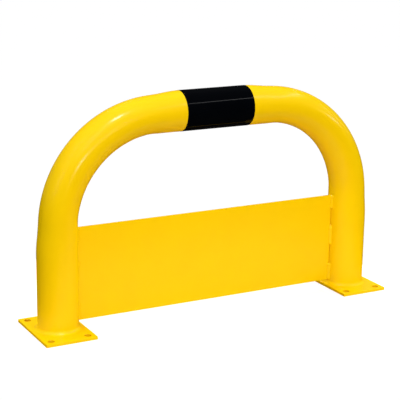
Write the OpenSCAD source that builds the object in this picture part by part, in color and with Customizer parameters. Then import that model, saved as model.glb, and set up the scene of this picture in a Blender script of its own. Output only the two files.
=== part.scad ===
// Impact guard: a bent steel hoop on two base plates, with a skirt panel low down between its legs.
// X runs along the hoop, Y across it and Z up. The origin is on the floor, under the middle of the hoop.

/* [Hoop] */
// Overall width, over the outsides of the two legs
hoop_w = 1000; // [900:10:1500]
// Height of the hoop above its base plates
hoop_h = 600; // [560:10:900]
// Outer diameter of the tube
tube_d = 108; // [89:1:114]
// Wall thickness of the tube
tube_wall = 3.6; // [2.6:0.1:5]
// Radius of both bends, at the middle of the tube
bend_r = 280; // [240:5:300]
// How far the outside of a bend is drawn flat
drawn_in = 7; // [0:0.5:9]
// How far the inside of a bend is pressed up
pressed_in = 1.5; // [0:0.5:4]

/* [Base plates] */
// Size of a plate along the hoop
plate_w = 140; // [130:5:180]
// Size of a plate across the hoop
plate_l = 210; // [180:5:260]
// Thickness of a plate
plate_t = 8; // [6:1:15]
// How far a plate's middle stands outside its leg's middle
plate_shift = 3; // [0:1:6]
// Corner radius of a plate
plate_corner_r = 2; // [1:0.5:10]
// Diameter of the anchor holes
hole_d = 18; // [12:1:20]
// Distance from the middle of a hole to the plate's two nearest edges
hole_inset = 20; // [16:1:26]

/* [Skirt panel] */
// Height of the panel
panel_h = 253; // [150:1:260]
// Thickness of the panel
panel_t = 5; // [3:1:8]
// Gap between the panel and the floor
floor_gap = 20; // [15:1:40]
// Slit between each end of the panel and its leg, which the welds bridge
end_gap = 1.5; // [0.5:0.5:3]

/* [Welds] */
// Leg length of the bead round the foot of a leg
foot_bead = 9; // [6:0.5:12]
// How far the face of that bead is hollowed
foot_hollow = 1.2; // [0.5:0.1:2]
// Radius of the stitch beads that hold the panel
stitch_r = 6.5; // [5:0.5:8]
// Lower ends of the bottom, middle and top stitch, above the panel's lower edge
stitch_z = [5, 105, 212];
// Lengths of the bottom, middle and top stitch
stitch_l = [46, 60, 43];
// How far a stitch fills the slit behind the panel's face
stitch_root = 1.5; // [0.5:0.5:2]

/* [Warning band] */
// Width of the black film round the middle of the crossbar
band_w = 200; // [100:10:240]
// Thickness of the film
band_t = 0.4; // [0.3:0.1:1]

/* [Hidden] */
$fn = 96;
tube_sides = 36;
tube_r = tube_d / 2;
leg_x = hoop_w / 2 - tube_r;
panel_w = 2 * (leg_x - tube_r - end_gap);
panel_z = floor_gap;

// The centreline of half the hoop, from the foot of a leg to the middle of the crossbar
leg_run = hoop_h - tube_r - bend_r;
bend_run = bend_r * PI / 2;
bar_run = leg_x - bend_r;
half_run = leg_run + bend_run + bar_run;

// The outside starts to flatten at the band's end, before the bend, and is flat soon after the bend begins.
// The inside is only pressed up within the bend.
flat_lead = bar_run - band_w / 2;
flat_settle = 20;
press_settle = 40;
lead_steps = 3;
bend_steps = 15;

SIDES = ["left", "right"];
FACES = ["front", "back"];
LEVELS = ["bottom", "middle", "top"];

function stitch_name(side, face, level) =
    str("stitch_weld_", SIDES[side], "_", FACES[face], "_", LEVELS[level]);

yellow = "#fccd0c";
weld_yellow = "#f6c60a";
black = "#121212";

// Hoop tube: rings of points swept along the centreline

// From 0 to 1 as t goes from 0 to 1, with soft ends
function eased(t) = let (u = min(1, max(0, t))) u * u * (3 - 2 * u);

// How far the point at distance s is past the nearer end of the bend; negative outside it
function depth_in_bend(s) = min(s - leg_run, leg_run + bend_run - s);

function outer_loss(s) = drawn_in * eased((depth_in_bend(s) + flat_lead) / (flat_lead + flat_settle));
function inner_loss(s) = pressed_in * eased(depth_in_bend(s) / press_settle);

function turned(s) = 90 * min(1, max(0, (s - leg_run) / bend_run));

function middle_at(s) =
    let (a = turned(s), along_bar = max(0, s - leg_run - bend_run))
    [-leg_x + bend_r * (1 - cos(a)) + along_bar, 0, plate_t + min(s, leg_run) + bend_r * sin(a)];

function outward_at(s) = let (a = turned(s)) [-cos(a), 0, sin(a)];

// One ring of the tube at distance s, set in from the outer surface by depth
function ring(s, depth) =
    let (middle = middle_at(s), outward = outward_at(s))
    [for (i = [0:tube_sides - 1])
        let (a = 360 * i / tube_sides,
             loss = cos(a) > 0 ? outer_loss(s) : inner_loss(s))
        middle + (tube_r - loss - depth) * cos(a) * outward + [0, (tube_r - depth) * sin(a), 0]];

half_stations = concat(
    [0],
    [for (k = [0:lead_steps - 1]) leg_run - flat_lead * (1 - k / lead_steps)],
    [for (k = [0:bend_steps]) leg_run + bend_run * k / bend_steps],
    [for (k = [1:lead_steps]) leg_run + bend_run + flat_lead * k / lead_steps],
    [half_run]
);
half_count = len(half_stations);
ring_count = 2 * half_count - 1;

// The right half of the hoop is the left half mirrored
function skin(depth) =
    let (left = [for (s = half_stations) ring(s, depth)])
    concat(left, [for (k = [half_count - 2:-1:0]) [for (p = left[k]) [-p.x, p.y, p.z]]]);

function flat(lists) = [for (list = lists, item = list) item];

function pair(a, b, c, d, flip) = flip ? [[a, c, b], [a, d, c]] : [[a, b, c], [a, c, d]];

// Triangles between neighbouring rings of one skin
function skin_faces(first, flip) =
    flat([for (k = [0:ring_count - 2], i = [0:tube_sides - 1])
        let (j = (i + 1) % tube_sides, here = first + k * tube_sides, next = here + tube_sides)
        pair(here + i, here + j, next + j, next + i, flip)]);

// Triangles across the cut end of the wall
function end_faces(outer, inner, flip) =
    flat([for (i = [0:tube_sides - 1])
        let (j = (i + 1) % tube_sides)
        pair(outer + i, inner + i, inner + j, outer + j, flip)]);

module hoop_tube() {
    skin_size = ring_count * tube_sides;
    last_ring = skin_size - tube_sides;
    color(yellow)
    polyhedron(
        points = flat(concat(skin(0), skin(tube_wall))),
        faces = concat(
            skin_faces(0, false),
            skin_faces(skin_size, true),
            end_faces(0, skin_size, false),
            end_faces(last_ring, skin_size + last_ring, true)
        ),
        convexity = 6
    );
}

// Skirt panel

module panel_sheet() {
    translate([-panel_w / 2, -panel_t / 2, panel_z]) cube([panel_w, panel_t, panel_h]);
}

module skirt_panel() {
    color(yellow) panel_sheet();
}

// Base plates

module plate_outline() {
    straight_w = plate_w - 2 * plate_corner_r;
    straight_l = plate_l - 2 * plate_corner_r;
    square([plate_w, straight_l], center = true);
    square([straight_w, plate_l], center = true);
    for (x = [-1, 1], y = [-1, 1])
        translate([x * straight_w / 2, y * straight_l / 2]) circle(plate_corner_r);
}

module base_plate(side) {
    color(yellow)
    translate([side * (leg_x + plate_shift), 0, 0])
    difference() {
        linear_extrude(plate_t) plate_outline();
        for (x = [-1, 1], y = [-1, 1])
            translate([x * (plate_w / 2 - hole_inset), y * (plate_l / 2 - hole_inset), -1])
                cylinder(d = hole_d, h = plate_t + 2);
    }
}

// Foot welds: a ring with a hollow face between the tube and the plate

module foot_weld(side) {
    // The face is an arc through the tips of the bead's two legs
    chord = foot_bead * sqrt(2);
    face_r = (pow(chord / 2, 2) + pow(foot_hollow, 2)) / (2 * foot_hollow);
    face_offset = foot_bead / 2 + (face_r - foot_hollow) / sqrt(2);
    color(weld_yellow)
    translate([side * leg_x, 0, plate_t])
    rotate_extrude()
    translate([tube_r, 0])
    difference() {
        polygon([[0, 0], [foot_bead, 0], [0, foot_bead]]);
        translate([face_offset, face_offset]) circle(face_r);
    }
}

// Stitch welds: round-ended beads in the corner between the panel and a leg

module bead(length) {
    rotate_extrude()
    intersection() {
        union() {
            translate([0, stitch_r]) circle(stitch_r);
            translate([0, length - stitch_r]) circle(stitch_r);
            translate([0, stitch_r]) square([stitch_r, length - 2 * stitch_r]);
        }
        square([stitch_r, length]);
    }
}

module stitch_weld(side, face, level) {
    mirror([1 - side, 0, 0])
    mirror([0, face, 0])
    color(weld_yellow)
    difference() {
        translate([leg_x - tube_r, -panel_t / 2, panel_z + stitch_z[level]]) bead(stitch_l[level]);
        translate([leg_x, 0, 0]) cylinder(r = tube_r, h = hoop_h);
        panel_sheet();
        translate([0, stitch_root - panel_t / 2, 0]) cube([leg_x, tube_r, hoop_h]);
    }
}

// Warning band

module warning_band() {
    color(black)
    translate([-band_w / 2, 0, plate_t + hoop_h - tube_r])
    rotate([0, 90, 0])
    difference() {
        cylinder(r = tube_r + band_t, h = band_w);
        translate([0, 0, -1]) cylinder(r = tube_r, h = band_w + 2);
    }
}

hoop_tube();
skirt_panel();
base_plate(-1);  // base_plate_left
base_plate(1);  // base_plate_right
foot_weld(-1);  // foot_weld_left
foot_weld(1);  // foot_weld_right
warning_band();
for (side = [0, 1], face = [0, 1], level = [0:2])
    stitch_weld(side, face, level);
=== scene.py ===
# Looks of an impact guard: a bent steel hoop on two base plates, with a skirt panel between its legs.
# It is laid out as an add-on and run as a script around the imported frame. All lengths are in metres.

import math
import random

import bmesh
import bpy
from bpy.props import FloatProperty, FloatVectorProperty, IntProperty, PointerProperty
from mathutils import Matrix, Vector


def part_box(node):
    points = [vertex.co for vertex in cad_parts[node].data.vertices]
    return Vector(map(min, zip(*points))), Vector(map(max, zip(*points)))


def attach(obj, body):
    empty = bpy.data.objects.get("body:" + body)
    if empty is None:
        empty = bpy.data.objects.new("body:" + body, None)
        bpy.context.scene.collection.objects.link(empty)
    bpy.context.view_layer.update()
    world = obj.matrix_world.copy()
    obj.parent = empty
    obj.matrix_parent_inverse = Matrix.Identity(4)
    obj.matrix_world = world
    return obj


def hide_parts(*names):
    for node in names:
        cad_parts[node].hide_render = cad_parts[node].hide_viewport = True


bl_info = {
    "name": "Impact guard",
    "version": (1, 0, 0),
    "blender": (4, 5, 0),
    "location": "View3D > Sidebar > Guard",
    "description": "Makes the bent tube, panel, plates, welds and film of an impact guard",
    "category": "Object",
}

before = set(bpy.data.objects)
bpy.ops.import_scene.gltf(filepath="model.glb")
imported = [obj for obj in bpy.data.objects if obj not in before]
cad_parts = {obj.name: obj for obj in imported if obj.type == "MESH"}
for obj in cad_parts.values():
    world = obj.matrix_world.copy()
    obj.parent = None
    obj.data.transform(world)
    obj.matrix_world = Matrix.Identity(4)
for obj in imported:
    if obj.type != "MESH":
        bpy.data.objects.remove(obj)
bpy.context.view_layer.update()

TUBE_LOW, TUBE_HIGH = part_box("hoop_tube")
PANEL_LOW, PANEL_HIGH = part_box("skirt_panel")
PLATE_LOW, PLATE_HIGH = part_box("base_plate_right")
FOOT_LOW, FOOT_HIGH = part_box("foot_weld_right")
FILM_LOW, FILM_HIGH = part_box("warning_band")

MM = 0.001
SIDES = ("left", "right")
FACES = ("front", "back")
LEVELS = ("bottom", "middle", "top")

# How finely the meshes are divided
CREASE = math.radians(50)
CORNER_POINTS = 7
ROUNDING_STEPS = 4
CIRCLE_POINTS = 64
CALM_RINGS = 12
FOOT_POINTS_PER_RIPPLE = 8
FOOT_POINTS_ACROSS = 17
STITCH_STEP = 0.5 * MM
STITCH_POINTS_ACROSS = 15
FILM_POINTS_ROUND = 180
FILM_ROWS_BETWEEN = 41

# The bead round a foot: its size beside the CAD bead's, how much that sways, and the waves of the sway
# in one turn round the leg
FOOT_SIZE = 1.08
FOOT_SWAY = 0.05
FOOT_WAVES = (2, 3, 4)
# How far its ripples lag at the toes, as a part of a ripple, how far the sway moves them, in radians,
# and their height beside that of the stitches' ripples
FOOT_LAG = 0.45
FOOT_SHIFT = 0.8
FOOT_RIPPLE = 0.6
# How far its toes lie in the tube and the plate, and how far its root does
FOOT_TOE_SINK = 0.06 * MM
FOOT_ROOT_IN = 0.4 * MM
FOOT_ROOT_DOWN = 0.2 * MM

# A stitch bead: the angles of its first toe and of the arc to the other, in degrees, how far its
# ripples lag at the toes, as a part of a ripple, and how far its root lies in the panel
STITCH_START = 177
STITCH_TURN = 101
STITCH_LAG = 0.5
STITCH_ROOT_IN = 0.3 * MM
# Its size beside the stitch radius, how much that sways along it, and over which length
STITCH_SIZE = 0.97
STITCH_SWAY = 0.03
SWAY_LENGTH = 11 * MM
# The part of its size that is left at its ends, how flat its face is, and how much a lump fills that
END_SIZE = 0.03
FACE_FLATNESS = 0.22
LUMP_FULLNESS = 0.4
# How far below its upper end its lump lies and how long that is, and the same above its lower end
LUMP_DEPTHS = {"bottom": 4 * MM, "middle": 11 * MM, "top": 4 * MM}
LUMP_LENGTH = 5.5 * MM
END_LUMP_RISE = 6 * MM
END_LUMP_LENGTH = 4.6 * MM
# How far the bottom stitches reach below the panel
BELOW_PANEL = 1 * MM

# The film: where its seam lies, in degrees from the top towards the back, the length of the outer
# layer's cut edge, and how far along that edge its points lie
SEAM_TURN = 130
FILM_LIP = 0.25 * MM
LIP_STEPS = (0.34, 0.67, 1.0, 1.4)
# The eased rims at its two ends: how far in, in millimetres, and how much of the thickness is there
FILM_RIMS = ((0.0, -0.5), (0.0, 0.35), (0.06, 0.7), (0.16, 0.93), (0.34, 1.0))

# The nibs in a coat: cells to a metre with one in each, its reach as a part of the cell, and its rise
NIB_CELLS = 55.0
NIB_REACH = 0.03
NIB_RISE = 33.0
# The part of the tone that stays pale, how deep the colour is on a coated edge, and how many times
# paler than the film its soft tone is
PALE_PART = 0.4
EDGE_DEPTH = 0.4
SOFT_BLACK = 1.6
# Places of the colour sockets on a Mix node
MIX_A = 6
MIX_B = 7
MIX_RESULT = 2


# Sizes and colours

class GuardHoopSettings(bpy.types.PropertyGroup):
    """Sizes of the bent tube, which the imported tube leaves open"""

    bend_radius: FloatProperty(
        name="Bend radius", description="Radius of both bends, at the middle of the tube",
        default=280 * MM, min=0.2, max=0.4, unit="LENGTH")
    drawn_in: FloatProperty(
        name="Drawn in", description="How far the outside of a bend is drawn flat",
        default=7 * MM, min=0.0, max=0.01, unit="LENGTH")
    pressed_in: FloatProperty(
        name="Pressed in", description="How far the inside of a bend is pressed up",
        default=1.5 * MM, min=0.0, max=0.005, unit="LENGTH")
    flat_settle: FloatProperty(
        name="Flat settle", description="How far into the bend the outside becomes fully flat",
        default=20 * MM, min=0.001, max=0.1, unit="LENGTH")
    press_settle: FloatProperty(
        name="Press settle", description="How far into the bend the inside is fully pressed up",
        default=40 * MM, min=0.001, max=0.1, unit="LENGTH")
    ring_step: FloatProperty(
        name="Ring step", description="Distance between the rings of points along the tube",
        default=5 * MM, min=0.001, max=0.05, unit="LENGTH")
    sides: IntProperty(
        name="Sides", description="Points in each ring round the tube",
        default=96, min=24, max=192)


class GuardSheetSettings(bpy.types.PropertyGroup):
    """Edges, corners and holes of the panel and the base plates"""

    panel_rounding: FloatProperty(
        name="Panel rounding", description="Radius of the coated edges of the panel",
        default=0.8 * MM, min=0.0001, max=0.002, unit="LENGTH")
    panel_corner: FloatProperty(
        name="Panel corner", description="Corner radius of the panel's outline",
        default=1.5 * MM, min=0.001, max=0.02, unit="LENGTH")
    plate_rounding: FloatProperty(
        name="Plate rounding", description="Radius of the coated edges of a base plate",
        default=0.9 * MM, min=0.0001, max=0.003, unit="LENGTH")
    plate_corner: FloatProperty(
        name="Plate corner", description="Corner radius of a base plate's outline",
        default=2 * MM, min=0.0011, max=0.02, unit="LENGTH")
    hole_diameter: FloatProperty(
        name="Anchor hole", description="Diameter of the anchor holes",
        default=18 * MM, min=0.008, max=0.03, unit="LENGTH")
    hole_inset: FloatProperty(
        name="Hole inset", description="From the middle of a hole to the plate's two nearest edges",
        default=20 * MM, min=0.012, max=0.04, unit="LENGTH")


class GuardWeldSettings(bpy.types.PropertyGroup):
    """Size and ripple of the weld beads"""

    foot_fullness: FloatProperty(
        name="Foot fullness",
        description="Shape of the bead round a leg: 1 is flat, 2 is a hollow quarter circle",
        default=1.6, min=1.1, max=2.0)
    stitch_radius: FloatProperty(
        name="Stitch radius", description="From the root of a stitch bead to its toes",
        default=6.5 * MM, min=0.003, max=0.01, unit="LENGTH")
    start_lump: FloatProperty(
        name="Start lump", description="How much fuller a stitch bead is near its upper end",
        default=0.20, min=0.0, max=0.5, subtype="FACTOR")
    end_lump: FloatProperty(
        name="End lump", description="How much fuller a stitch bead is at its lower end",
        default=0.05, min=0.0, max=0.5, subtype="FACTOR")
    ripple_step: FloatProperty(
        name="Ripple step", description="Distance between the ripples along a bead",
        default=3.2 * MM, min=0.001, max=0.01, unit="LENGTH")
    ripple_height: FloatProperty(
        name="Ripple height", description="Height of the ripples under the coat",
        default=0.08 * MM, min=0.0, max=0.001, unit="LENGTH")


class GuardFilmSettings(bpy.types.PropertyGroup):
    """Wrap of the black film round the crossbar"""

    overlap: FloatProperty(
        name="Overlap", description="Length by which the film overlaps itself at the back",
        default=18 * MM, min=0.005, max=0.05, unit="LENGTH")
    ease: FloatProperty(
        name="Ease", description="Length over which the outer layer rises onto the inner one",
        default=3 * MM, min=0.0005, max=0.01, unit="LENGTH")


class GuardFinishSettings(bpy.types.PropertyGroup):
    """Colours and finishes"""

    yellow: FloatVectorProperty(
        name="Yellow", description="Colour of the powder coat",
        default=(0.96, 0.62, 0.001), min=0.0, max=1.0, subtype="COLOR", size=3)
    deep_yellow: FloatVectorProperty(
        name="Deep yellow", description="Colour of the powder coat where it lies thick",
        default=(0.91, 0.56, 0.001), min=0.0, max=1.0, subtype="COLOR", size=3)
    # Painted shade: a darker yellow on the walls of the anchor holes, standing in for the shade inside
    # them.
    hole_shade_yellow: FloatVectorProperty(
        name="Hole shade yellow", description="Colour of the powder coat where it lies thin, in the holes",
        default=(0.76, 0.44, 0.001), min=0.0, max=1.0, subtype="COLOR", size=3)
    black: FloatVectorProperty(
        name="Black", description="Colour of the film",
        default=(0.0008, 0.0011, 0.0018), min=0.0, max=1.0, subtype="COLOR", size=3)
    coat_roughness: FloatProperty(
        name="Coat roughness", description="Lowest roughness of the powder coat",
        default=0.19, min=0.02, max=1.0, subtype="FACTOR")
    coat_shine: FloatProperty(
        name="Coat shine", description="Strength of the reflections in the powder coat",
        default=0.28, min=0.0, max=1.0, subtype="FACTOR")
    film_roughness: FloatProperty(
        name="Film roughness", description="Lowest roughness of the film",
        default=0.05, min=0.02, max=1.0, subtype="FACTOR")
    film_shine: FloatProperty(
        name="Film shine", description="Strength of the reflections in the film",
        default=0.07, min=0.0, max=1.0, subtype="FACTOR")


class GuardStageSettings(bpy.types.PropertyGroup):
    """Light levels of the studio"""

    sky_above: FloatProperty(
        name="Light from above",
        description="Even light from straight above, which fades to the horizon",
        default=1.21, min=0.0, max=3.0)
    ceiling: FloatProperty(
        name="Ceiling", description="Brightness of the ceiling in the gloss of the paint",
        default=0.08, min=0.0, max=1.0)
    backdrop: FloatProperty(
        name="Backdrop", description="Brightness of the backdrop in the gloss of the paint",
        default=0.12, min=0.0, max=1.0)
    fills: FloatProperty(
        name="Fills", description="Factor on the power of the lamps that light the guard",
        default=1.0, min=0.0, max=5.0)
    glints: FloatProperty(
        name="Glints", description="Factor on the power of the lamps that show in the gloss",
        default=1.0, min=0.0, max=5.0)


class GuardSettings(bpy.types.PropertyGroup):
    """All settings of the guard"""

    hoop: PointerProperty(type=GuardHoopSettings)
    sheet: PointerProperty(type=GuardSheetSettings)
    weld: PointerProperty(type=GuardWeldSettings)
    film: PointerProperty(type=GuardFilmSettings)
    finish: PointerProperty(type=GuardFinishSettings)
    stage: PointerProperty(type=GuardStageSettings)


# Mesh helpers

def eased(t):
    """From 0 to 1 as t goes from 0 to 1, with soft ends."""
    u = min(1.0, max(0.0, t))
    return u * u * (3 - 2 * u)


def spread(low, high, count):
    """Evenly spaced numbers from low to high, both included."""
    return [low + (high - low) * k / (count - 1) for k in range(count)]


def finish_piece(name, mesh, material, nodes):
    """Puts a finished mesh in the scene as a piece of the guard that stands for CAD nodes."""
    piece = bpy.data.objects.new(name, mesh)
    bpy.context.scene.collection.objects.link(piece)
    mesh.materials.append(material)
    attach(piece, "root")
    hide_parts(*nodes)
    return piece


def close_up(mesh):
    """Turns all faces outwards and shades them smooth, apart from sharp edges."""
    shape = bmesh.new()
    shape.from_mesh(mesh)
    bmesh.ops.recalc_face_normals(shape, faces=shape.faces)
    for face in shape.faces:
        face.smooth = True
    shape.to_mesh(mesh)
    shape.free()
    mesh.set_sharp_from_angle(angle=CREASE)
    return mesh


def rows_to_mesh(name, rows, joined_ends=False):
    """A closed mesh of quads between rows of points, each a loop. The end rows are capped or joined."""
    size = len(rows[0])
    count = len(rows)
    faces = []
    for r in range(count if joined_ends else count - 1):
        here, there = r * size, (r + 1) % count * size
        for i in range(size):
            j = (i + 1) % size
            faces.append((here + i, here + j, there + j, there + i))
    if not joined_ends:
        faces.append(tuple(range(size)))
        faces.append(tuple(range((count - 1) * size, count * size)))
    mesh = bpy.data.meshes.new(name)
    mesh.from_pydata([point for row in rows for point in row], [], faces)
    return close_up(mesh)


def rounded_rectangle(width, height, corner, inset):
    """Points of a rectangle with rounded corners, set in all round, about its own middle."""
    half_w, half_h = width / 2 - corner, height / 2 - corner
    centres = ((half_w, half_h), (-half_w, half_h), (-half_w, -half_h), (half_w, -half_h))
    points = []
    for quarter, (u, v) in enumerate(centres):
        for angle in spread(quarter * 90, quarter * 90 + 90, CORNER_POINTS):
            a = math.radians(angle)
            points.append((u + (corner - inset) * math.cos(a), v + (corner - inset) * math.sin(a)))
    return points


def circle(u, v, radius):
    """Points of a circle."""
    turns = [2 * math.pi * k / CIRCLE_POINTS for k in range(CIRCLE_POINTS)]
    return [(u + radius * math.cos(a), v + radius * math.sin(a)) for a in turns]


def slab(name, loops_at, thickness, rounding, place):
    """A flat sheet with rounded edges. loops_at(inset) gives its outline and its holes, all set in."""
    bends = [math.pi / 2 * k / ROUNDING_STEPS for k in range(ROUNDING_STEPS + 1)]
    lower = [(rounding * (1 - math.sin(a)), rounding * (1 - math.cos(a))) for a in bends]
    levels = lower + [(inset, thickness - depth) for inset, depth in reversed(lower)]
    shape = bmesh.new()
    edge = shape.verts.layers.float.new("edge")
    # The hole mask marks the walls of the holes, where the material paints shade.
    hole = shape.verts.layers.float.new("hole")
    stacks = []
    for inset, depth in levels:
        loops = [[shape.verts.new(place(u, v, depth)) for u, v in loop] for loop in loops_at(inset)]
        stacks.append(loops)
        for k, loop in enumerate(loops):
            for point in loop:
                point[edge] = 1 - inset / rounding
                point[hole] = 1 - inset / rounding if k > 0 else 0.0
    for below, above in zip(stacks, stacks[1:]):
        for low, high in zip(below, above):
            for i in range(len(low)):
                j = (i + 1) % len(low)
                shape.faces.new((low[i], low[j], high[j], high[i]))
    for loops in (stacks[0], stacks[-1]):
        rims = []
        for loop in loops:
            for i in range(len(loop)):
                rims.append(shape.edges.get((loop[i], loop[(i + 1) % len(loop)])))
        bmesh.ops.triangle_fill(shape, use_beauty=True, edges=rims)
    mesh = bpy.data.meshes.new(name)
    shape.to_mesh(mesh)
    shape.free()
    return close_up(mesh)


def keep_flats_flat(piece):
    """Keeps the shading of the flat faces flat beside the rounded edges."""
    modifier = piece.modifiers.new("Flat faces", "WEIGHTED_NORMAL")
    modifier.weight = 100
    modifier.keep_sharp = True


# Shape of the tube

class TubeShape:
    """The outer surface of the bent tube, by distance along its centreline from the left foot."""

    def __init__(self, hoop):
        self.hoop = hoop
        self.radius = (TUBE_HIGH.y - TUBE_LOW.y) / 2
        self.leg_x = TUBE_HIGH.x - self.radius
        self.foot_z = TUBE_LOW.z
        self.bar_z = TUBE_HIGH.z - self.radius
        self.leg_run = self.bar_z - self.foot_z - hoop.bend_radius
        self.bend_run = hoop.bend_radius * math.pi / 2
        self.bar_run = self.leg_x - hoop.bend_radius
        self.half_run = self.leg_run + self.bend_run + self.bar_run
        self.flat_lead = self.bar_run - FILM_HIGH.x

    def losses(self, s):
        """How far the outside and the inside of the bend stand in from the round tube."""
        depth = min(s - self.leg_run, self.leg_run + self.bend_run - s)
        outside = eased((depth + self.flat_lead) / (self.flat_lead + self.hoop.flat_settle))
        inside = eased(depth / self.hoop.press_settle)
        return self.hoop.drawn_in * outside, self.hoop.pressed_in * inside

    def ring(self, s):
        """One ring of points. Past the middle of the crossbar it is the left half mirrored."""
        mirror = 1
        if s > self.half_run:
            s, mirror = 2 * self.half_run - s, -1
        turn = math.pi / 2 * min(1.0, max(0.0, (s - self.leg_run) / self.bend_run))
        bend = self.hoop.bend_radius
        along_bar = max(0.0, s - self.leg_run - self.bend_run)
        x = -self.leg_x + bend * (1 - math.cos(turn)) + along_bar
        z = self.foot_z + min(s, self.leg_run) + bend * math.sin(turn)
        outside, inside = self.losses(s)
        points = []
        for k in range(self.hoop.sides):
            a = 2 * math.pi * k / self.hoop.sides
            reach = (self.radius - (outside if math.cos(a) > 0 else inside)) * math.cos(a)
            points.append((
                mirror * (x - reach * math.cos(turn)),
                self.radius * math.sin(a),
                z + reach * math.sin(turn)))
        return points

    def stations(self):
        """Distances of the rings: far apart on the legs, close together where the shape changes."""
        calm = self.leg_run - self.flat_lead
        legs = spread(0.0, calm, CALM_RINGS)
        steps = math.ceil((self.half_run - calm) / self.hoop.ring_step)
        half = legs + spread(calm, self.half_run, steps + 1)[1:]
        return half + [2 * self.half_run - s for s in reversed(half[:-1])]


# Materials

def node_at(tree, kind, x, y, **values):
    """Adds a node and sets its attributes, and its inputs where the name is that of an input."""
    node = tree.nodes.new(kind)
    node.location = (x, y)
    for name, value in values.items():
        label = name.replace("_", " ").capitalize()
        if name in node.bl_rna.properties:
            setattr(node, name, value)
        else:
            node.inputs[label].default_value = value
    return node


def math_at(tree, x, y, operation, first, second=None):
    """Adds a Math node. Each operand is a number or an output socket."""
    node = tree.nodes.new("ShaderNodeMath")
    node.location = (x, y)
    node.operation = operation
    for index, value in enumerate((first, second)):
        if isinstance(value, bpy.types.NodeSocket):
            tree.links.new(value, node.inputs[index])
        elif value is not None:
            node.inputs[index].default_value = value
    return node.outputs[0]


def coat_flow_group():
    """How a stoved coat or a film lies: fine peel, slow waves, a few nibs and a slow change of tone."""
    made = bpy.data.node_groups.get("Coat flow")
    if made:
        return made
    tree = bpy.data.node_groups.new("Coat flow", "ShaderNodeTree")
    inputs = (
        ("Peel size", 2.2, "Distance between the dimples, in millimetres"),
        ("Peel depth", 0.006, "Depth of the dimples, in millimetres"),
        ("Wave size", 26.0, "Distance between the slow waves, in millimetres"),
        ("Wave depth", 0.02, "Depth of the slow waves, in millimetres"),
        ("Nib height", 0.02, "Height of the few grains in the coat, in millimetres"),
        ("Tone size", 90.0, "Distance over which the tone changes, in millimetres"),
    )
    for name, value, description in inputs:
        socket = tree.interface.new_socket(
            name, description=description, in_out="INPUT", socket_type="NodeSocketFloat")
        socket.default_value = value
    for name in ("Height", "Tone", "Peel"):
        tree.interface.new_socket(name, in_out="OUTPUT", socket_type="NodeSocketFloat")
    enter = node_at(tree, "NodeGroupInput", -900, 0)
    leave = node_at(tree, "NodeGroupOutput", 700, 0)
    place = node_at(tree, "ShaderNodeTexCoord", -900, 300)
    scales = {}
    for k, name in enumerate(("Peel size", "Wave size", "Tone size")):
        scales[name] = math_at(tree, -700, 200 - 160 * k, "DIVIDE", 1 / MM, enter.outputs[name])

    def noise(size, y, detail, roughness):
        node = node_at(tree, "ShaderNodeTexNoise", -480, y, detail=detail, roughness=roughness)
        tree.links.new(place.outputs["Object"], node.inputs["Vector"])
        tree.links.new(scales[size], node.inputs["Scale"])
        return node.outputs["Fac"]

    peel = noise("Peel size", 300, detail=1.0, roughness=0.4)
    wave = noise("Wave size", 60, detail=1.0, roughness=0.3)
    tone = noise("Tone size", -180, detail=3.0, roughness=0.55)
    cells = node_at(tree, "ShaderNodeTexVoronoi", -480, -420)
    cells.inputs["Scale"].default_value = NIB_CELLS
    tree.links.new(place.outputs["Object"], cells.inputs["Vector"])
    near = math_at(tree, -260, -420, "SUBTRACT", NIB_REACH, cells.outputs["Distance"])
    near = math_at(tree, -170, -420, "MAXIMUM", near, 0.0)
    nib = math_at(tree, -80, -420, "MULTIPLY", near, NIB_RISE)
    height = math_at(tree, 0, 200, "MULTIPLY", peel, enter.outputs["Peel depth"])
    slow = math_at(tree, 0, 40, "MULTIPLY", wave, enter.outputs["Wave depth"])
    grain = math_at(tree, 100, -420, "MULTIPLY", nib, enter.outputs["Nib height"])
    summed = math_at(tree, 200, 120, "ADD", height, slow)
    summed = math_at(tree, 360, 60, "ADD", summed, grain)
    tree.links.new(summed, leave.inputs["Height"])
    tone = math_at(tree, -260, -180, "SUBTRACT", tone, PALE_PART)
    tone = math_at(tree, -80, -180, "MAXIMUM", tone, 0.0)
    tree.links.new(tone, leave.inputs["Tone"])
    tree.links.new(peel, leave.inputs["Peel"])
    return tree


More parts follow.
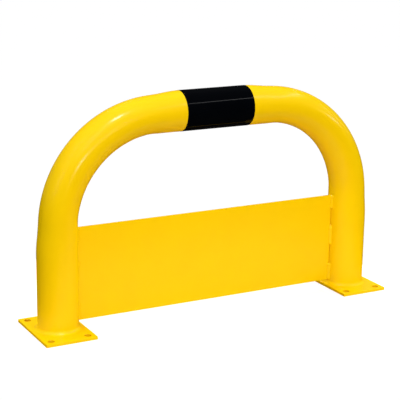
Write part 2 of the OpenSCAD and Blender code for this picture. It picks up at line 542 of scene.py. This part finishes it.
def surface(name, light, dark, thin, roughness, roughness_range, shine, flow_values):
    """A glossy surface whose colour, roughness and normal follow the coat flow group, with painted
    shade in the holes.
    """
    made = bpy.data.materials.get(name)
    if made:
        return made
    material = bpy.data.materials.new(name)
    material.use_nodes = True
    tree = material.node_tree
    shader = tree.nodes["Principled BSDF"]
    flow = node_at(tree, "ShaderNodeGroup", -900, 0)
    flow.node_tree = coat_flow_group()
    for socket, value in flow_values.items():
        flow.inputs[socket].default_value = value
    edge = node_at(tree, "ShaderNodeAttribute", -900, 320)
    edge.attribute_name = "edge"
    thick = math_at(tree, -520, 340, "MULTIPLY", edge.outputs["Fac"], EDGE_DEPTH)
    depth = math_at(tree, -380, 260, "ADD", flow.outputs["Tone"], thick)
    mix = node_at(tree, "ShaderNodeMix", -220, 240)
    mix.data_type = "RGBA"
    mix.clamp_factor = True
    mix.inputs[MIX_A].default_value = (*light, 1.0)
    mix.inputs[MIX_B].default_value = (*dark, 1.0)
    tree.links.new(depth, mix.inputs["Factor"])
    # Painted shade: where the hole mask is set, the colour turns to the darker hole shade colour (the
    # thin argument).
    hole = node_at(tree, "ShaderNodeAttribute", -220, 460)
    hole.attribute_name = "hole"
    hole_shade_mix = node_at(tree, "ShaderNodeMix", -40, 300)
    hole_shade_mix.data_type = "RGBA"
    hole_shade_mix.inputs[MIX_B].default_value = (*thin, 1.0)
    tree.links.new(hole.outputs["Fac"], hole_shade_mix.inputs["Factor"])
    tree.links.new(mix.outputs[MIX_RESULT], hole_shade_mix.inputs[MIX_A])
    tree.links.new(hole_shade_mix.outputs[MIX_RESULT], shader.inputs["Base Color"])
    rough = math_at(tree, -380, 20, "MULTIPLY", flow.outputs["Tone"], roughness_range)
    tree.links.new(math_at(tree, -220, 20, "ADD", rough, roughness), shader.inputs["Roughness"])
    bump = node_at(tree, "ShaderNodeBump", -220, -220)
    bump.inputs["Strength"].default_value = 1.0
    bump.inputs["Distance"].default_value = MM
    tree.links.new(flow.outputs["Height"], bump.inputs["Height"])
    tree.links.new(bump.outputs["Normal"], shader.inputs["Normal"])
    shader.inputs["Specular IOR Level"].default_value = shine
    return material


def coat_material(finish):
    """Traffic yellow powder coat on tube, panel and plates."""
    return surface(
        "Yellow powder coat", finish.yellow, finish.deep_yellow, finish.hole_shade_yellow,
        finish.coat_roughness, roughness_range=0.06, shine=finish.coat_shine,
        flow_values={"Peel depth": 0.006, "Wave depth": 0.02, "Nib height": 0.02})


def weld_coat_material(finish):
    """The same coat over the weld beads, where it lies thicker and less even."""
    return surface(
        "Yellow powder coat on welds", finish.yellow, finish.deep_yellow, finish.hole_shade_yellow,
        finish.coat_roughness, roughness_range=0.10, shine=finish.coat_shine,
        flow_values={
            "Peel size": 1.3, "Peel depth": 0.012, "Wave size": 7.0, "Wave depth": 0.05,
            "Nib height": 0.03, "Tone size": 14.0})


def film_material(finish):
    """Black glossy film, through which the peel of the coat under it shows faintly."""
    soft_black = tuple(value * SOFT_BLACK for value in finish.black)
    return surface(
        "Black film", finish.black, soft_black, finish.black,
        finish.film_roughness, roughness_range=0.04, shine=finish.film_shine,
        flow_values={
            "Peel size": 2.6, "Peel depth": 0.002, "Wave size": 34.0, "Wave depth": 0.008,
            "Nib height": 0.03, "Tone size": 60.0})


# Operators

class GUARD_OT_hoop_tube(bpy.types.Operator):
    """Makes the bent tube with its flattened bends"""

    bl_idname = "guard.hoop_tube"
    bl_label = "Hoop tube"

    def execute(self, context):
        settings = context.scene.guard
        shape = TubeShape(settings.hoop)
        mesh = rows_to_mesh("bent_tube", [shape.ring(s) for s in shape.stations()])
        finish_piece("bent_tube", mesh, coat_material(settings.finish), ["hoop_tube"])
        return {"FINISHED"}


class GUARD_OT_skirt_panel(bpy.types.Operator):
    """Makes the skirt panel with rounded, coated edges"""

    bl_idname = "guard.skirt_panel"
    bl_label = "Skirt panel"

    def execute(self, context):
        settings = context.scene.guard
        size = PANEL_HIGH - PANEL_LOW
        middle = (PANEL_HIGH + PANEL_LOW) / 2
        corner = settings.sheet.panel_corner

        def loops_at(inset):
            return [rounded_rectangle(size.x, size.z, corner, inset)]

        def place(u, v, depth):
            return (middle.x + u, PANEL_LOW.y + depth, middle.z + v)

        mesh = slab("panel_sheet", loops_at, size.y, settings.sheet.panel_rounding, place)
        piece = finish_piece(
            "panel_sheet", mesh, coat_material(settings.finish), ["skirt_panel"])
        keep_flats_flat(piece)
        return {"FINISHED"}


class GUARD_OT_base_plates(bpy.types.Operator):
    """Makes both base plates with their anchor holes"""

    bl_idname = "guard.base_plates"
    bl_label = "Base plates"

    def execute(self, context):
        settings = context.scene.guard
        sheet = settings.sheet
        size = PLATE_HIGH - PLATE_LOW
        reach_u = size.x / 2 - sheet.hole_inset
        reach_v = size.y / 2 - sheet.hole_inset

        def loops_at(inset):
            loops = [rounded_rectangle(size.x, size.y, sheet.plate_corner, inset)]
            for u in (-reach_u, reach_u):
                for v in (-reach_v, reach_v):
                    loops.append(circle(u, v, sheet.hole_diameter / 2 + inset))
            return loops

        for side in SIDES:
            node = f"base_plate_{side}"
            low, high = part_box(node)
            middle = (low + high) / 2

            def place(u, v, depth):
                return (middle.x + u, middle.y + v, low.z + depth)

            name = f"{side}_base_plate"
            mesh = slab(name, loops_at, size.z, sheet.plate_rounding, place)
            piece = finish_piece(name, mesh, coat_material(settings.finish), [node])
            keep_flats_flat(piece)
        return {"FINISHED"}


class GUARD_OT_foot_welds(bpy.types.Operator):
    """Makes the rippled beads round the feet of the legs"""

    bl_idname = "guard.foot_welds"
    bl_label = "Foot welds"

    def execute(self, context):
        settings = context.scene.guard
        weld = settings.weld
        tube = TubeShape(settings.hoop)
        leg = FOOT_HIGH.z - FOOT_LOW.z
        around = 2 * math.pi * (tube.radius + leg / 2)
        ripples = round(around / weld.ripple_step)
        count = ripples * FOOT_POINTS_PER_RIPPLE
        for side in SIDES:
            rng = random.Random(f"foot {side}")
            waves = [(wave, rng.uniform(0, 2 * math.pi)) for wave in FOOT_WAVES]
            x = tube.leg_x if side == "right" else -tube.leg_x
            rows = []
            for k in range(count):
                turn = 2 * math.pi * k / count
                sway = sum(math.sin(wave * turn + start) for wave, start in waves) / len(waves)
                phase = 2 * math.pi * k / FOOT_POINTS_PER_RIPPLE + FOOT_SHIFT * sway
                rows.append([
                    (x + out * math.cos(turn), out * math.sin(turn), FOOT_LOW.z + up)
                    for out, up in self.profile(weld, tube.radius, leg, sway, phase)])
            name = f"{side}_foot_weld"
            mesh = rows_to_mesh(name, rows, joined_ends=True)
            finish_piece(
                name, mesh, weld_coat_material(settings.finish), [f"foot_weld_{side}"])
        return {"FINISHED"}

    def profile(self, weld, radius, leg, sway, phase):
        """One section of the bead, as distances from the middle of the leg and above the plate."""
        size = leg * (FOOT_SIZE + FOOT_SWAY * sway)
        points = [(radius - FOOT_ROOT_IN, -FOOT_ROOT_DOWN)]
        for t in spread(0.0, 1.0, FOOT_POINTS_ACROSS):
            ripple = math.cos(phase - 2 * math.pi * FOOT_LAG * (2 * t - 1) ** 2)
            bulge = math.sin(math.pi * t) / math.sqrt(2)
            lift = FOOT_RIPPLE * weld.ripple_height * ripple * bulge - FOOT_TOE_SINK
            turn = math.pi / 2 * t
            out = size * (1 - math.cos(turn) ** (2 / weld.foot_fullness))
            up = size * (1 - math.sin(turn) ** (2 / weld.foot_fullness))
            points.append((radius + out + lift, up + lift))
        return points


class GUARD_OT_stitch_welds(bpy.types.Operator):
    """Makes the rippled stitch beads between the panel and the legs"""

    bl_idname = "guard.stitch_welds"
    bl_label = "Stitch welds"

    def execute(self, context):
        settings = context.scene.guard
        weld = settings.weld
        tube = TubeShape(settings.hoop)
        root_x = tube.leg_x - tube.radius
        root_y = PANEL_LOW.y
        for side in SIDES:
            for face in FACES:
                for level in LEVELS:
                    node = f"stitch_weld_{side}_{face}_{level}"
                    low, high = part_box(node)
                    if level == "bottom":
                        low.z = PANEL_LOW.z - BELOW_PANEL
                    rng = random.Random(node)
                    start, sway_turn = rng.random(), rng.uniform(0, 2 * math.pi)
                    flip_x = 1 if side == "right" else -1
                    flip_y = 1 if face == "front" else -1
                    length = high.z - low.z
                    steps = round(length / STITCH_STEP)
                    rows = []
                    for k in range(steps + 1):
                        run = length * k / steps
                        from_lump = length - run - LUMP_DEPTHS[level]
                        lump = weld.start_lump * math.exp(-(from_lump / LUMP_LENGTH) ** 2)
                        from_end_lump = run - END_LUMP_RISE
                        lump += weld.end_lump * math.exp(-(from_end_lump / END_LUMP_LENGTH) ** 2)
                        from_end = min(1.0, min(run, length - run) / weld.stitch_radius)
                        taper = max(END_SIZE, math.sqrt(1 - (1 - from_end) ** 2))
                        sway = math.sin(run / SWAY_LENGTH + sway_turn)
                        ripple_run = run / weld.ripple_step + start
                        rows.append([
                            (flip_x * (root_x + u), flip_y * (root_y + v), low.z + run)
                            for u, v in self.profile(weld, lump, taper, sway, ripple_run)])
                    name = f"{side}_{face}_{level}_stitch"
                    mesh = rows_to_mesh(name, rows)
                    finish_piece(
                        name, mesh, weld_coat_material(settings.finish), [node])
        return {"FINISHED"}

    def profile(self, weld, lump, taper, sway, ripple_run):
        """One section of a bead at the right front, about the root between the panel and the leg."""
        size = weld.stitch_radius * (STITCH_SIZE + STITCH_SWAY * sway + lump) * taper
        points = [(0.0, STITCH_ROOT_IN)]
        for t in spread(0.0, 1.0, STITCH_POINTS_ACROSS):
            turn = math.radians(STITCH_START + STITCH_TURN * t)
            lag = STITCH_LAG * (2 * t - 1) ** 2
            ripple = math.cos(2 * math.pi * (ripple_run - lag))
            bulge = math.sin(math.pi * t)
            reach = size * (1 - (FACE_FLATNESS - LUMP_FULLNESS * lump) * bulge)
            reach += weld.ripple_height * ripple * bulge * taper
            points.append((reach * math.cos(turn), reach * math.sin(turn)))
        return points


class GUARD_OT_warning_band(bpy.types.Operator):
    """Makes the black film, wrapped once round the crossbar with an overlap at the back"""

    bl_idname = "guard.warning_band"
    bl_label = "Warning band"

    def execute(self, context):
        settings = context.scene.guard
        tube = TubeShape(settings.hoop)
        film = settings.film
        thick = (FILM_HIGH.y - FILM_LOW.y) / 2 - tube.radius
        seam = math.radians(SEAM_TURN)
        lap = film.overlap / tube.radius
        ease = film.ease / tube.radius
        lip = FILM_LIP / tube.radius
        around = 2 * math.pi
        turns = [around * k / FILM_POINTS_ROUND for k in range(FILM_POINTS_ROUND)]
        turns += [around - lip * step for step in LIP_STEPS]
        turns = sorted({round(a, 6) for a in turns})
        left = [(FILM_LOW.x + inset * MM, lift) for inset, lift in FILM_RIMS]
        right = [(FILM_HIGH.x - inset * MM, lift) for inset, lift in reversed(FILM_RIMS)]
        middle = [(x, 1.0) for x in spread(left[-1][0], right[0][0], FILM_ROWS_BETWEEN)[1:-1]]
        rows = []
        for x, lift in left + middle + right:
            row = []
            for a in turns:
                second = eased((a - around + lap) / ease) * eased((around - a) / lip)
                radius = tube.radius + thick * lift + thick * second * max(0.0, lift)
                turn = seam + a
                row.append((x, radius * math.sin(turn), tube.bar_z + radius * math.cos(turn)))
            rows.append(row)
        mesh = rows_to_mesh("film_wrap", rows, joined_ends=True)
        finish_piece("film_wrap", mesh, film_material(settings.finish), ["warning_band"])
        return {"FINISHED"}


# Light, floor and camera

# Lamps that light the paint: name, azimuth and elevation in degrees, distance, width, height and power
# in watts. Azimuth 0 is in front of the guard and 90 is on its right. All point at its middle.
FILLS = (
    ("Low fill front", 0, 20, 3.0, 1.0, 1.0, 39.0),
    ("High fill front left", -45, 45, 3.0, 1.0, 1.0, 11.5),
    ("Low fill left", -82, 20, 3.0, 1.0, 1.0, 10.5),
    ("High fill left", -95, 45, 3.0, 1.0, 1.0, 6.5),
    ("Low fill right", 90, 20, 3.0, 1.0, 1.0, 23.0),
    ("Low fill back right", 135, 20, 3.0, 1.0, 1.0, 24.0),
    ("High fill back", 178, 45, 3.0, 1.0, 1.0, 26.0),
)
MIDDLE = (0, 0, 0.3)
OPEN_BEAM = 180
# Lamps that only show as highlights in the gloss, each with the spot of the guard where it shows
# and the angle in degrees that its beam spreads over
GLINTS = (
    ("Top glint", -20, 71, 2.1, 0.24, 0.20, 13.0, (-0.290, -0.040, 0.560), 180),
    ("Low glint", -11, 12, 3.0, 0.30, 0.12, 8.0, (-0.397, -0.051, 0.458), 180),
    ("Right glint", 65, 13, 3.0, 0.65, 0.06, 3.2, (0.344, -0.050, 0.513), 180),
    ("Long glint", 70, 45.5, 12.0, 13.5, 0.31, 130.0, (0.100, -0.045, 0.580), 180),
    ("Foot glint", -27, 67, 1.5, 0.12, 0.34, 0.11, (-0.466, -0.055, 0.012), 10),
)

# The studio that shows in the gloss, by how far up a direction points, from 0 level to 1 straight up:
# where the backdrop ends, where the ceiling starts, how much higher it is at its full light, and the
# powers by which both fade
BACKDROP_TOP = 0.42
BACKDROP_FADE = 0.5
CEILING_START = 0.26
CEILING_RISE = 0.51
CEILING_FADE = 1.5

# The ground: name, half its width and depth, middle, colour, and how much white the camera sees in it
DARK_GREY = (0.04, 0.04, 0.04)
WARM_SHEET = (0.92, 0.74, 0.61)
FLOOR_WHITE = 0.97
GROUNDS = (
    ("floor", 30.0, 30.0, (0, 0, -0.4 * MM), DARK_GREY, FLOOR_WHITE),
    ("floor_sheet", 0.60, 0.61, (0, -0.01, -0.2 * MM), WARM_SHEET, 0.55),
)
# Dark cards on the ground, left of each base plate: half their widths, half their depth, their gap to
# the plate, and their level
CARD_REACHES = {"left": 4 * MM, "right": 14 * MM}
CARD_DEPTH = 0.13
CARD_GAP = 1 * MM
CARD_LEVEL = -0.1 * MM
# How much of the ground's colour shows in the gloss
GROUND_IN_GLOSS = 0.02

# The camera: its place, how far it turns right, tips down and leans, in radians, and its lens and
# sensor in millimetres
CAMERA_PLACE = (-1.568384, -2.861743, 1.168618)
CAMERA_TURNS = (0.492368, 0.259926, 0.0147294)
CAMERA_LENS = 112.328
CAMERA_SENSOR = 36.0
CAMERA_RANGE = (0.1, 100.0)


def add_lamp(name, azimuth, elevation, distance, width, height, power, spot, beam, glint):
    """An area lamp that points at a spot. It shows in the gloss only, or else not in the gloss."""
    turn, rise = math.radians(azimuth), math.radians(elevation)
    away = Vector((
        math.sin(turn) * math.cos(rise), -math.cos(turn) * math.cos(rise), math.sin(rise)))
    light = bpy.data.lights.new(name, "AREA")
    light.shape = "RECTANGLE"
    light.size, light.size_y = width, height
    light.energy = power
    light.spread = math.radians(beam)
    lamp = bpy.data.objects.new(name, light)
    lamp.location = Vector(spot) + away * distance
    lamp.rotation_mode = "QUATERNION"
    lamp.rotation_quaternion = (-away).to_track_quat("-Z", "Y")
    lamp.visible_camera = False
    lamp.visible_glossy = glint
    lamp.visible_diffuse = not glint
    bpy.context.scene.collection.objects.link(lamp)


def facing(tree, x, y, source, direction):
    """How far a direction of the sky lies towards the given one, from 0 to 1."""
    dot = tree.nodes.new("ShaderNodeVectorMath")
    dot.location = (x, y)
    dot.operation = "DOT_PRODUCT"
    dot.inputs[1].default_value = direction
    tree.links.new(source, dot.inputs[0])
    return math_at(tree, x + 160, y, "MAXIMUM", dot.outputs["Value"], 0.0)


class GUARD_OT_stage(bpy.types.Operator):
    """Makes the floor, the studio light and the camera"""

    bl_idname = "guard.stage"
    bl_label = "Stage"

    def execute(self, context):
        scene = context.scene
        stage = scene.guard.stage
        scene.view_settings.view_transform = "Standard"
        self.make_world(scene, stage)
        self.make_floor(scene)
        for *place, power in FILLS:
            add_lamp(*place, power * stage.fills, MIDDLE, OPEN_BEAM, False)
        for *place, power, spot, beam in GLINTS:
            add_lamp(*place, power * stage.glints, spot, beam, True)
        self.make_camera(scene)
        return {"FINISHED"}

    def make_world(self, scene, stage):
        """White to the camera, a dim studio in the gloss, and soft light from above."""
        world = bpy.data.worlds.new("Studio")
        world.use_nodes = True
        tree = world.node_tree
        tree.nodes.clear()
        path = node_at(tree, "ShaderNodeLightPath", -1000, 400)
        place = node_at(tree, "ShaderNodeTexCoord", -1000, 0)
        sky = place.outputs["Generated"]
        upward = facing(tree, -800, 0, sky, (0, 0, 1))
        behind = facing(tree, -800, -360, sky, (0, 1, 0))
        above = math_at(tree, -260, 0, "MULTIPLY", upward, stage.sky_above)
        low = math_at(tree, -600, -540, "SUBTRACT", BACKDROP_TOP, upward)
        low = math_at(tree, -420, -540, "MAXIMUM", low, 0.0)
        fade = math_at(tree, -420, -400, "POWER", behind, BACKDROP_FADE)
        drop = math_at(tree, -260, -400, "MULTIPLY", low, fade)
        drop = math_at(tree, -100, -400, "MULTIPLY", drop, stage.backdrop / BACKDROP_TOP)
        high = math_at(tree, -600, -720, "SUBTRACT", upward, CEILING_START)
        high = math_at(tree, -500, -720, "MAXIMUM", high, 0.0)
        high = math_at(tree, -420, -720, "DIVIDE", high, CEILING_RISE)
        high = math_at(tree, -340, -720, "MINIMUM", high, 1.0)
        high = math_at(tree, -260, -720, "POWER", high, CEILING_FADE)
        high = math_at(tree, -100, -720, "MULTIPLY", high, stage.ceiling)
        room = math_at(tree, 40, -500, "ADD", drop, high)
        gloss = math_at(
            tree, -600, 300, "MAXIMUM",
            path.outputs["Is Glossy Ray"], path.outputs["Is Transmission Ray"])
        seen = math_at(tree, 160, -200, "MULTIPLY", gloss, room)
        rest = math_at(tree, -420, 300, "SUBTRACT", 1.0, gloss)
        rest = math_at(tree, -260, 300, "SUBTRACT", rest, path.outputs["Is Camera Ray"])
        light = math_at(tree, -80, 100, "MULTIPLY", rest, above)
        total = math_at(tree, 80, 0, "ADD", light, seen)
        total = math_at(tree, 240, 0, "ADD", total, path.outputs["Is Camera Ray"])
        shader = node_at(tree, "ShaderNodeBackground", 420, 0)
        shader.inputs["Color"].default_value = (1, 1, 1, 1)
        out = node_at(tree, "ShaderNodeOutputWorld", 620, 0)
        tree.links.new(total, shader.inputs["Strength"])
        tree.links.new(shader.outputs[0], out.inputs["Surface"])
        scene.world = world

    def make_floor(self, scene):
        """The floor, a sheet that warms the panel's lower edge, and cards that darken the plates."""
        for ground in GROUNDS:
            self.make_ground(scene, *ground)
        for side, reach in CARD_REACHES.items():
            low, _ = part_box(f"base_plate_{side}")
            middle = (low.x - CARD_GAP - reach, 0, CARD_LEVEL)
            self.make_ground(
                scene, f"{side}_floor_card", reach, CARD_DEPTH, middle, DARK_GREY, FLOOR_WHITE)

    def make_ground(self, scene, name, reach_x, reach_y, middle, colour, white):
        """One flat rectangle of the floor. To the camera its light is topped up to white."""
        mesh = bpy.data.meshes.new(name)
        corners = [
            Vector(middle) + Vector((u * reach_x, v * reach_y, 0))
            for u, v in ((-1, -1), (1, -1), (1, 1), (-1, 1))]
        mesh.from_pydata(corners, [], [(0, 1, 2, 3)])
        ground = bpy.data.objects.new(name, mesh)
        scene.collection.objects.link(ground)
        material = bpy.data.materials.new(name)
        material.use_nodes = True
        tree = material.node_tree
        shader = tree.nodes["Principled BSDF"]
        shader.inputs["Roughness"].default_value = 1.0
        shader.inputs["Specular IOR Level"].default_value = 0.0
        path = node_at(tree, "ShaderNodeLightPath", -900, 200)
        mix = node_at(tree, "ShaderNodeMix", -300, 200)
        mix.data_type = "RGBA"
        mix.inputs[MIX_A].default_value = (*colour, 1)
        mix.inputs[MIX_B].default_value = (*(GROUND_IN_GLOSS * value for value in colour), 1)
        tree.links.new(path.outputs["Is Glossy Ray"], mix.inputs["Factor"])
        tree.links.new(mix.outputs[MIX_RESULT], shader.inputs["Base Color"])
        shader.inputs["Emission Color"].default_value = (1, 1, 1, 1)
        glow = math_at(tree, -300, 0, "MULTIPLY", path.outputs["Is Camera Ray"], white)
        tree.links.new(glow, shader.inputs["Emission Strength"])
        mesh.materials.append(material)

    def make_camera(self, scene):
        """The camera that the photograph was taken with, as far as its perspective tells."""
        yaw, pitch, roll = CAMERA_TURNS
        ahead = Vector((
            math.sin(yaw) * math.cos(pitch), math.cos(yaw) * math.cos(pitch), -math.sin(pitch)))
        level = Vector((math.cos(yaw), -math.sin(yaw), 0))
        above = level.cross(ahead)
        right = math.cos(roll) * level + math.sin(roll) * above
        up = -math.sin(roll) * level + math.cos(roll) * above
        data = bpy.data.cameras.new("Camera")
        data.sensor_fit = "HORIZONTAL"
        data.sensor_width = CAMERA_SENSOR
        data.lens = CAMERA_LENS
        data.clip_start, data.clip_end = CAMERA_RANGE
        camera = bpy.data.objects.new("Camera", data)
        turn = Matrix((right, up, -ahead)).transposed().to_4x4()
        camera.matrix_world = Matrix.Translation(CAMERA_PLACE) @ turn
        scene.collection.objects.link(camera)
        scene.camera = camera


# Sidebar and registration

class GUARD_PT_guard(bpy.types.Panel):
    """Lists the guard's settings and the operators that make it"""

    bl_idname = "GUARD_PT_guard"
    bl_label = "Impact guard"
    bl_space_type = "VIEW_3D"
    bl_region_type = "UI"
    bl_category = "Guard"

    def draw(self, context):
        guard = context.scene.guard
        for group in (guard.hoop, guard.sheet, guard.weld, guard.film, guard.finish, guard.stage):
            box = self.layout.box()
            for name in group.bl_rna.properties.keys():
                if name not in ("rna_type", "name"):
                    box.prop(group, name)
        for operator in OPERATORS:
            self.layout.operator(operator.bl_idname)


SETTINGS = (
    GuardHoopSettings,
    GuardSheetSettings,
    GuardWeldSettings,
    GuardFilmSettings,
    GuardFinishSettings,
    GuardStageSettings,
    GuardSettings,
)
OPERATORS = (
    GUARD_OT_stage,
    GUARD_OT_hoop_tube,
    GUARD_OT_skirt_panel,
    GUARD_OT_base_plates,
    GUARD_OT_foot_welds,
    GUARD_OT_stitch_welds,
    GUARD_OT_warning_band,
)
CLASSES = SETTINGS + OPERATORS + (GUARD_PT_guard,)


def register():
    """Registers the settings, the operators and the panel."""
    for cls in CLASSES:
        bpy.utils.register_class(cls)
    bpy.types.Scene.guard = PointerProperty(type=GuardSettings)


def unregister():
    """Takes the panel, the operators and the settings away again."""
    del bpy.types.Scene.guard
    for cls in reversed(CLASSES):
        bpy.utils.unregister_class(cls)


def main():
    """Makes the stage and every piece."""
    register()
    bpy.ops.guard.stage()
    bpy.ops.guard.hoop_tube()
    bpy.ops.guard.skirt_panel()
    bpy.ops.guard.base_plates()
    bpy.ops.guard.foot_welds()
    bpy.ops.guard.stitch_welds()
    bpy.ops.guard.warning_band()


if __name__ == "__main__":
    main()
